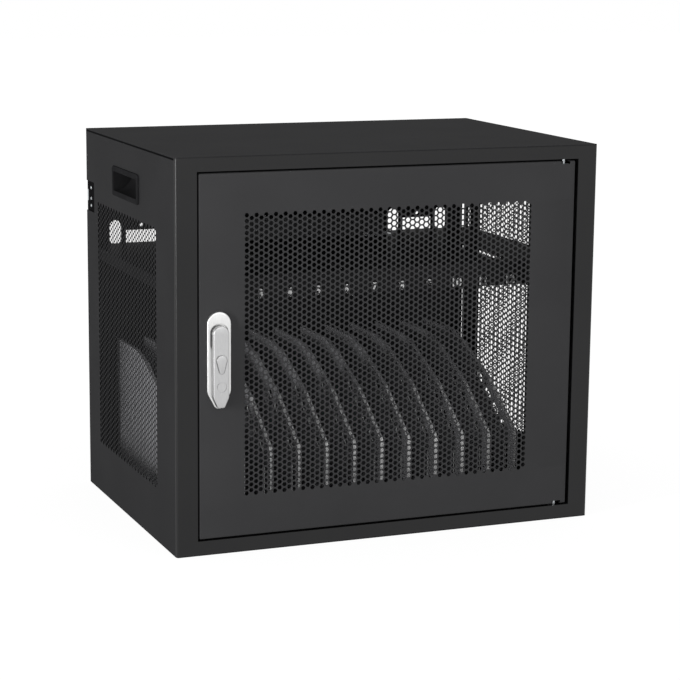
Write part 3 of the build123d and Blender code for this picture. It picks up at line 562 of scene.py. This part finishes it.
def swingLever():
    low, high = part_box("swing_lever")
    size = lockSize
    x = (low.x + high.x) / 2
    circles = [(x, high.z - size["leverHalf"], size["leverHalf"]),
               (x, low.z + size["leverShoulder"], size["leverHalf"]),
               (x, low.z + size["leverTip"], size["leverTip"])]
    lever = roundedBar("swingLever", circles, low.y, high.y)
    roundFront(lever, low.y, size["leverEdge"], 4)
    # grooves in front: a ring around the spindle, and the cover's bed
    spindleLow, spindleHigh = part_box("cam_screw")
    spindleZ = (spindleLow.z + spindleHigh.z) / 2
    groove = (low.y - past, low.y + size["groove"])
    ring = roundedBar("ring", [(x, spindleZ, size["ringRadius"])], *groove)
    core = roundedBar("core", [(x, spindleZ, size["ringRadius"] - size["ringWidth"])],
                      low.y - 2 * past, low.y + 2 * past)
    carve(lever, carve(ring, core))
    bed = coverCircles(x, *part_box("keyhole_cover"), size["coverGap"])
    carve(lever, roundedBar("bed", bed, *groove))
    # room behind for the spindle's head and its arm
    hollow = (low.y + size["leverSkin"], high.y + past)
    carve(lever, roundedBar("pocket", [(x, spindleZ, size["pocketRadius"])], *hollow))
    arm = [(x, low.z - size["armBelow"], size["armHalf"]), (x, spindleZ, size["armHalf"])]
    carve(lever, roundedBar("arm", arm, *hollow))
    carve(lever, heelCutter(x, low, high))
    keyLow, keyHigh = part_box("key_cylinder")
    well = [(x, (keyLow.z + keyHigh.z) / 2, (keyHigh.z - keyLow.z) / 2 + size["keyGap"])]
    carve(lever, roundedBar("well", well, low.y - past, keyHigh.y + size["keyBehind"]))
    smoothByAngle(lever, size["smoothAngle"])
    return finishPiece(lever, "swing_lever", materials["castZincGrey"],
                       ["swing_lever"])


def keyholeCover():
    low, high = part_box("keyhole_cover")
    size = lockSize
    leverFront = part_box("swing_lever")[0].y
    cover = roundedBar("keyholeCover", coverCircles((low.x + high.x) / 2, low, high), low.y,
                       leverFront - size["coverOff"])
    roundFront(cover, low.y, size["coverEdge"], 3)
    smoothByAngle(cover, size["smoothAngle"])
    return finishPiece(cover, "keyhole_cover", materials["castZincGrey"],
                       ["keyhole_cover"])


lockPlate()
swingLever()
keyholeCover()
print("lock made")


# slot numbers printed on the shelf's lip
numberSize = {
    "slots": 12, "belowShelf": 25 * mm, "bold": 0.5 * mm, "ink": 0.12 * mm,
    "height": 11 * mm, "share": 0.7,  # a figure's share of the lettering's size
}


def slotNumbers():
    shelfLow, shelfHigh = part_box("charger_shelf")
    size = numberSize
    for k in range(size["slots"]):
        first, second = (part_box(f"divider_{k + n:02d}")[0].x for n in (1, 2))
        clearSelection()
        bpy.ops.object.text_add(location=(0, 0, 0))
        words = bpy.context.active_object.data
        words.body = str(k + 1)
        words.size = size["height"] / size["share"]
        words.align_x = "CENTER"
        words.align_y = "CENTER"
        words.extrude = size["ink"] / 2
        words.offset = size["bold"]
        bpy.ops.object.convert(target="MESH")
        label = activePiece(f"slotNumber{k + 1:02d}")
        label.rotation_euler = (pi / 2, 0, 0)
        label.location = ((first + second) / 2, shelfLow.y - size["ink"] / 2,
                          shelfHigh.z - size["belowShelf"])
        finishPiece(settle(label), "cabinet", materials["whiteScreenInk"])


slotNumbers()
print("numbers made")


# painted shade along the top seams, and rivets seen from the sides
trimSize = {
    "seamHigh": 2.4 * mm, "seamProud": 0.12 * mm, "seamDeep": 0.4 * mm, "seamEdge": 0.05 * mm,
    "seamFromFront": 4.5 * mm, "seamFromBack": 1 * mm,
    "rivetRadius": 2.1 * mm, "rivetHigh": 1.2 * mm, "rivetEdge": 0.7 * mm, "rivetSides": 24,
    "rivetsFromBack": 20 * mm, "rivetsUp": (-13 * mm, -3 * mm, 12 * mm),
}


def paintedSeamShade(side):
    # painted shade: a near-black strip along the top sheet's edge, standing in for the shadow in
    # the gap under it
    size = trimSize
    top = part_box("left_side_panel")[1].z
    across = sorted((outsideX[side] + side * size["seamProud"],
                     outsideX[side] - side * size["seamDeep"]))
    low = (across[0], frontY + size["seamFromFront"], top - size["seamHigh"])
    high = (across[1], backY - size["seamFromBack"], top)
    clearSelection()
    bpy.ops.mesh.primitive_cube_add(size=1, location=[(a + b) / 2 for a, b in zip(low, high)],
                                    scale=[b - a for a, b in zip(low, high)])
    seam = settle(activePiece(f"{sideWord[side]}TopSeamShade"))
    applyModifier(seam, "BEVEL", width=size["seamEdge"], segments=2)
    return finishPiece(smoothByAngle(seam), "cabinet", materials["nearBlackCoatAndSeamShade"])


def hingeRivets():
    # domed rivets on the fixed leaf, seen through the notch in the left side
    size = trimSize
    leafLow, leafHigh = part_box("rear_hinge_fixed_leaf")
    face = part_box("left_side_panel")[1].x
    middle = (leafLow.z + leafHigh.z) / 2
    for k, up in enumerate(size["rivetsUp"]):
        clearSelection()
        bpy.ops.mesh.primitive_cylinder_add(
            vertices=size["rivetSides"], radius=size["rivetRadius"], depth=size["rivetHigh"],
            location=(face - size["rivetHigh"] / 2, backY - size["rivetsFromBack"], middle + up),
            rotation=(0, pi / 2, 0))
        rivet = editing(settle(activePiece(f"hingeRivet{k + 1}")))
        pick(lambda e: all(v.co.x < face - 0.9 * size["rivetHigh"] for v in e.verts), "edges")
        bpy.ops.mesh.bevel(offset=size["rivetEdge"], segments=3, affect="EDGES")
        doneEditing()
        finishPiece(smoothByAngle(rivet), "cabinet", materials["zincPlatedSteel"])


# a strip of painted shade along each top seam
for side in (-1, 1):
    paintedSeamShade(side)
hingeRivets()
print("trim made")


# finishes of the solids that stay as they are
slotFinish = {
    "cabinet_powder_coat": "cabinetPowderCoat", "door_powder_coat": "doorPowderCoat",
    "inner_powder_coat": "innerPowderCoat", "divider_powder_coat": "dividerPowderCoat",
    "hinge_powder_coat": "nearBlackCoatAndSeamShade", "handle_plastic": "blackAbs",
    "lock_satin": "castZincSatin", "lever_satin": "castZincGrey", "cover_satin": "castZincGrey",
    "key_nickel": "nickelPlatedBrass", "zinc_plate": "zincPlatedSteel",
    "screw_steel": "blackOxideSteel", "bumper_rubber": "nitrileRubber",
    "strip_plastic": "blackPolycarbonate", "socket_plastic": "darkNylon",
    "switch_red": "redPolycarbonate",
}


def dressSolids():
    slots = {part["node"]: part["material_slot"] for part in frame["record"]["subparts"]}
    for node, solid in cadNodes.items():
        solid.data.materials.clear()
        finish = "glossyBend" if node == "front_frame" else slotFinish[slots[node]]
        solid.data.materials.append(materials[finish])


dressSolids()
print("solids dressed")


# floor, light and camera
studio = {
    "floorSize": 24, "floorDrop": 0.2 * mm, "floorColour": "#ffffff", "world": 0.6,
    # seen straight or in a gloss, the floor fades to plain white away from the cabinet
    "whiteFrom": 0.5, "whiteTo": 1.5, "whiteNear": 0.9, "whiteFar": 1.0, "whiteStrength": 1.04,
}


def seenRays(tree):
    # 1 for what the camera sees straight, in a gloss or through glass
    rays = addNode(tree, "ShaderNodeLightPath").outputs
    seen = rays["Is Camera Ray"]
    for kind in ("Is Glossy Ray", "Is Transmission Ray"):
        larger = addNode(tree, "ShaderNodeMath", {"operation": "MAXIMUM"},
                         {0: seen, 1: rays[kind]})
        seen = larger.outputs[0]
    return seen


def buildFloor():
    clearSelection()
    bpy.ops.mesh.primitive_plane_add(size=studio["floorSize"],
                                     location=(0, 0, -studio["floorDrop"]))
    floor = activePiece("floor")
    material = bpy.data.materials.new("paleFloor")
    material.use_nodes = True
    tree = material.node_tree
    tree.nodes.clear()
    matte = addNode(tree, "ShaderNodeBsdfDiffuse", {"Color": linear(studio["floorColour"])})
    white = addNode(tree, "ShaderNodeEmission",
                    {"Color": (1, 1, 1, 1), "Strength": studio["whiteStrength"]})
    coords = addNode(tree, "ShaderNodeTexCoord").outputs["Object"]
    reach = addNode(tree, "ShaderNodeVectorMath", {"operation": "LENGTH"}, {0: coords})
    fade = addNode(tree, "ShaderNodeMapRange", {
        "From Min": studio["whiteFrom"], "From Max": studio["whiteTo"],
        "To Min": studio["whiteNear"], "To Max": studio["whiteFar"],
    }, {"Value": reach.outputs["Value"]})
    shown = addNode(tree, "ShaderNodeMath", {"operation": "MULTIPLY"},
                    {0: seenRays(tree), 1: fade.outputs["Result"]})
    blend = addNode(tree, "ShaderNodeMixShader", None,
                    {0: shown.outputs[0], 1: matte.outputs[0], 2: white.outputs[0]})
    addNode(tree, "ShaderNodeOutputMaterial", None, {"Surface": blend.outputs[0]})
    floor.data.materials.append(material)


def buildWorld():
    world = bpy.data.worlds.new("studio")
    bpy.context.scene.world = world
    world.use_nodes = True
    tree = world.node_tree
    tree.nodes.clear()
    soft, white = [
        addNode(tree, "ShaderNodeBackground", {"Color": (1, 1, 1, 1), "Strength": strength})
        for strength in (studio["world"], 1.0)]
    blend = addNode(tree, "ShaderNodeMixShader", None,
                    {0: seenRays(tree), 1: soft.outputs[0], 2: white.outputs[0]})
    addNode(tree, "ShaderNodeOutputWorld", None, {"Surface": blend.outputs[0]})


# each lamp's place, the point it faces, its width and height, and its watts
lamps = {
    "frontSoftbox": ((0.6, -3.2, 1.5), (0, 0, 0.25), (2.4, 1.6), 24),
    "leftSoftbox": ((-3.0, -1.2, 1.6), (0, 0, 0.25), (1.4, 1.6), 1.5),
    "topSoftbox": ((0.2, 0.1, 2.8), (0, 0, 0.3), (2.0, 2.0), 4),
    "edgeStrip": ((-2.55, -1.1, 0.62), (-0.295, -0.205, 0.3), (0.1, 1.2), 40),
}


def buildLights():
    for name, (place, aim, size, power) in lamps.items():
        clearSelection()
        bpy.ops.object.light_add(type="AREA", location=place)
        lamp = bpy.context.active_object
        lamp.name = name
        lamp.data.shape = "RECTANGLE"
        lamp.data.size, lamp.data.size_y = size
        lamp.data.energy = power
        facing = Vector(aim) - Vector(place)
        lamp.rotation_euler = facing.to_track_quat("-Z", "Y").to_euler()


cameraSize = {
    "lens": 112.55, "sensor": 36, "near": 0.05, "far": 50,
    "place": (-1.087, -2.699, 0.792), "turn": 22.12, "down": 10.98, "roll": 0.56,
}


def buildCamera():
    size = cameraSize
    turn, down, roll = (radians(size[k]) for k in ("turn", "down", "roll"))
    right = Vector((cos(turn), -sin(turn), 0))
    ahead = Vector((sin(turn) * cos(down), cos(turn) * cos(down), -sin(down)))
    up = right.cross(ahead)
    rolledRight = cos(roll) * right + sin(roll) * up
    rolledUp = -sin(roll) * right + cos(roll) * up
    bpy.ops.object.camera_add()
    camera = bpy.context.active_object
    camera.data.lens = size["lens"]
    camera.data.sensor_width = size["sensor"]
    camera.data.clip_start, camera.data.clip_end = size["near"], size["far"]
    axes = Matrix((rolledRight, rolledUp, -ahead)).transposed()
    camera.matrix_world = Matrix.Translation(size["place"]) @ axes.to_4x4()
    bpy.context.scene.camera = camera


buildFloor()
buildWorld()
buildLights()
buildCamera()
bpy.context.scene.view_settings.view_transform = "Standard"
print("studio built")

print("scene made")
